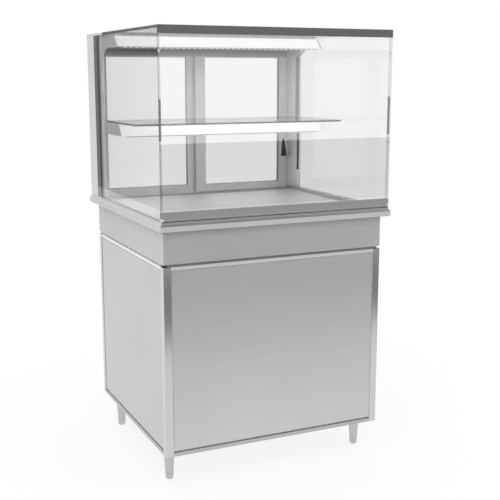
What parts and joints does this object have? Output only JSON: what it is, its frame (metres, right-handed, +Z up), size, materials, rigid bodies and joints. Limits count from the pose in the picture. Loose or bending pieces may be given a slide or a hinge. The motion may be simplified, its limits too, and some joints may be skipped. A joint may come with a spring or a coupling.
{
  "type": "refrigerated display case",
  "caption": "Glass refrigerated display case with a lit shelf and sliding rear doors, on a stainless counter and cupboard with tapered legs.",
  "frame": {"origin": "on the floor under the middle of the counter", "axes": "+Z up, -Y towards the customer (the front glass), +X to the customer's right"},
  "size_m": [0.8, 0.77, 1.42],
  "materials": {
    "stainless_frame": "satin, brushed along the tube",
    "stainless_panel": "satin, brushed grain",
    "stainless_counter": "satin, brushed along the edge",
    "stainless_leg": "satin, turned",
    "stainless_liner": "satin",
    "stainless_deck": "satin, brushed grain",
    "zinc_steel": "zinc plated",
    "chrome_latch": "polished",
    "galvanised_floor": "galvanised, faint spangle",
    "foam": "rigid polyurethane foam",
    "anodised_grille": "natural anodised",
    "anodised_post": "natural anodised, satin",
    "anodised_door": "natural anodised, satin",
    "dark_profile": "dark anodised",
    "coil_aluminium": "mill finish fins",
    "fan_plastic": "glass filled nylon",
    "grey_pvc": "rigid PVC",
    "black_enamel": "semi gloss black",
    "black_rubber": "matt",
    "copper": "drawn copper tube",
    "dark_plastic": "fine texture",
    "button_plastic": "satin",
    "switch_plastic": "gloss",
    "white_enamel": "satin white",
    "grey_enamel": "satin grey",
    "lamp_lens": "frosted",
    "grey_plastic": "satin",
    "clear_glass": "clear, polished edges"
  },
  "bodies": {
    "root": {"corner_posts": "stainless_frame", "top_frame": "stainless_frame", "bottom_frame": "stainless_frame", "front_panel": "stainless_panel", "side_panels": "stainless_panel", "rear_panel": "stainless_panel", "service_door_hinges": "zinc_steel", "base_floor": "galvanised_floor", "leg_bodies": "stainless_leg", "apron": "stainless_panel", "countertop": "stainless_counter", "well_insulation": "foam", "well_liner": "stainless_liner", "display_deck": "stainless_deck", "air_grilles": "anodised_grille", "evaporator_coil": "coil_aluminium", "fan_baffle": "galvanised_floor", "drain_pipe": "grey_pvc", "condensate_tray": "grey_pvc", "compressor": "black_enamel", "rubber_mounts": "black_rubber", "condenser_coil": "coil_aluminium", "condenser_fan_shroud": "galvanised_floor", "refrigerant_pipes": "copper", "control_panel": "stainless_panel", "thermostat": "dark_plastic", "cable_gland": "dark_plastic", "rear_posts": "anodised_post", "rear_top_cover": "anodised_post", "canopy_housing": "white_enamel", "led_strips": "lamp_lens", "door_tracks": "anodised_post", "side_glasses": "clear_glass", "top_glass": "clear_glass", "front_hinge_blocks": "dark_plastic", "shelf_glass": "clear_glass", "shelf_housing": "white_enamel", "shelf_brackets": "grey_enamel", "screws": "zinc_steel"},
    "left_door": {"left_door_frame": "anodised_door", "left_door_glass": "clear_glass", "left_door_pull": "grey_plastic"},
    "right_door": {"right_door_frame": "anodised_door", "right_door_glass": "clear_glass", "right_door_pull": "grey_plastic"},
    "front_window": {"front_glass": "clear_glass", "front_glass_profiles": "dark_profile"},
    "service_door": {"service_door": "stainless_panel"},
    "service_latch": {"service_door_latch": "chrome_latch"},
    "evaporator_fan": {"evaporator_fan": "fan_plastic"},
    "condenser_fan": {"condenser_fan": "fan_plastic"},
    "button_set": {"button_set": "button_plastic"},
    "button_up": {"button_up": "button_plastic"},
    "button_down": {"button_down": "button_plastic"},
    "power_switch": {"power_switch": "switch_plastic"},
    "light_switch": {"light_switch": "switch_plastic"},
    "foot_front_left": {"foot_front_left": "stainless_leg"},
    "foot_front_right": {"foot_front_right": "stainless_leg"},
    "foot_rear_left": {"foot_rear_left": "stainless_leg"},
    "foot_rear_right": {"foot_rear_right": "stainless_leg"}
  },
  "joints": [
    {"name": "left_door_slide", "type": "slide", "parent": "root", "child": "left_door", "axis": [1, 0, 0], "range_m": [0, 0.345]},
    {"name": "right_door_slide", "type": "slide", "parent": "root", "child": "right_door", "axis": [1, 0, 0], "range_m": [-0.345, 0]},
    {"name": "front_window_tilt", "type": "hinge", "parent": "root", "child": "front_window", "pos_m": [0, -0.3755, 0.8595], "axis": [1, 0, 0], "range_deg": [0, 60]},
    {"name": "service_door_swing", "type": "hinge", "parent": "root", "child": "service_door", "pos_m": [-0.356, 0.341, 0.295], "axis": [0, 0, 1], "range_deg": [0, 110]},
    {"name": "service_latch_turn", "type": "hinge", "parent": "service_door", "child": "service_latch", "pos_m": [0.3335, 0.3345, 0.295], "axis": [0, -1, 0], "range_deg": [0, 90]},
    {"name": "evaporator_fan_spin", "type": "hinge", "parent": "root", "child": "evaporator_fan", "pos_m": [0, 0.028, 0.7912], "axis": [0, 1, 0], "continuous": true},
    {"name": "condenser_fan_spin", "type": "hinge", "parent": "root", "child": "condenser_fan", "pos_m": [0.15, 0.22, 0.234], "axis": [0, 1, 0], "continuous": true},
    {"name": "button_set_press", "type": "slide", "parent": "root", "child": "button_set", "axis": [0, -1, 0], "range_m": [0, 0.0012], "stiffness_N_per_m": 300, "springref_m": -0.002},
    {"name": "button_up_press", "type": "slide", "parent": "root", "child": "button_up", "axis": [0, -1, 0], "range_m": [0, 0.0012], "stiffness_N_per_m": 300, "springref_m": -0.002},
    {"name": "button_down_press", "type": "slide", "parent": "root", "child": "button_down", "axis": [0, -1, 0], "range_m": [0, 0.0012], "stiffness_N_per_m": 300, "springref_m": -0.002},
    {"name": "power_switch_rock", "type": "hinge", "parent": "root", "child": "power_switch", "pos_m": [0.244, 0.361, 0.772], "axis": [1, 0, 0], "range_deg": [0, 14]},
    {"name": "light_switch_rock", "type": "hinge", "parent": "root", "child": "light_switch", "pos_m": [0.278, 0.361, 0.772], "axis": [1, 0, 0], "range_deg": [0, 14]},
    {"name": "foot_front_left_level", "type": "slide", "parent": "root", "child": "foot_front_left", "axis": [0, 0, -1], "range_m": [0, 0.025]},
    {"name": "foot_front_right_level", "type": "slide", "parent": "root", "child": "foot_front_right", "axis": [0, 0, -1], "range_m": [0, 0.025]},
    {"name": "foot_rear_left_level", "type": "slide", "parent": "root", "child": "foot_rear_left", "axis": [0, 0, -1], "range_m": [0, 0.025]},
    {"name": "foot_rear_right_level", "type": "slide", "parent": "root", "child": "foot_rear_right", "axis": [0, 0, -1], "range_m": [0, 0.025]}
  ]
}
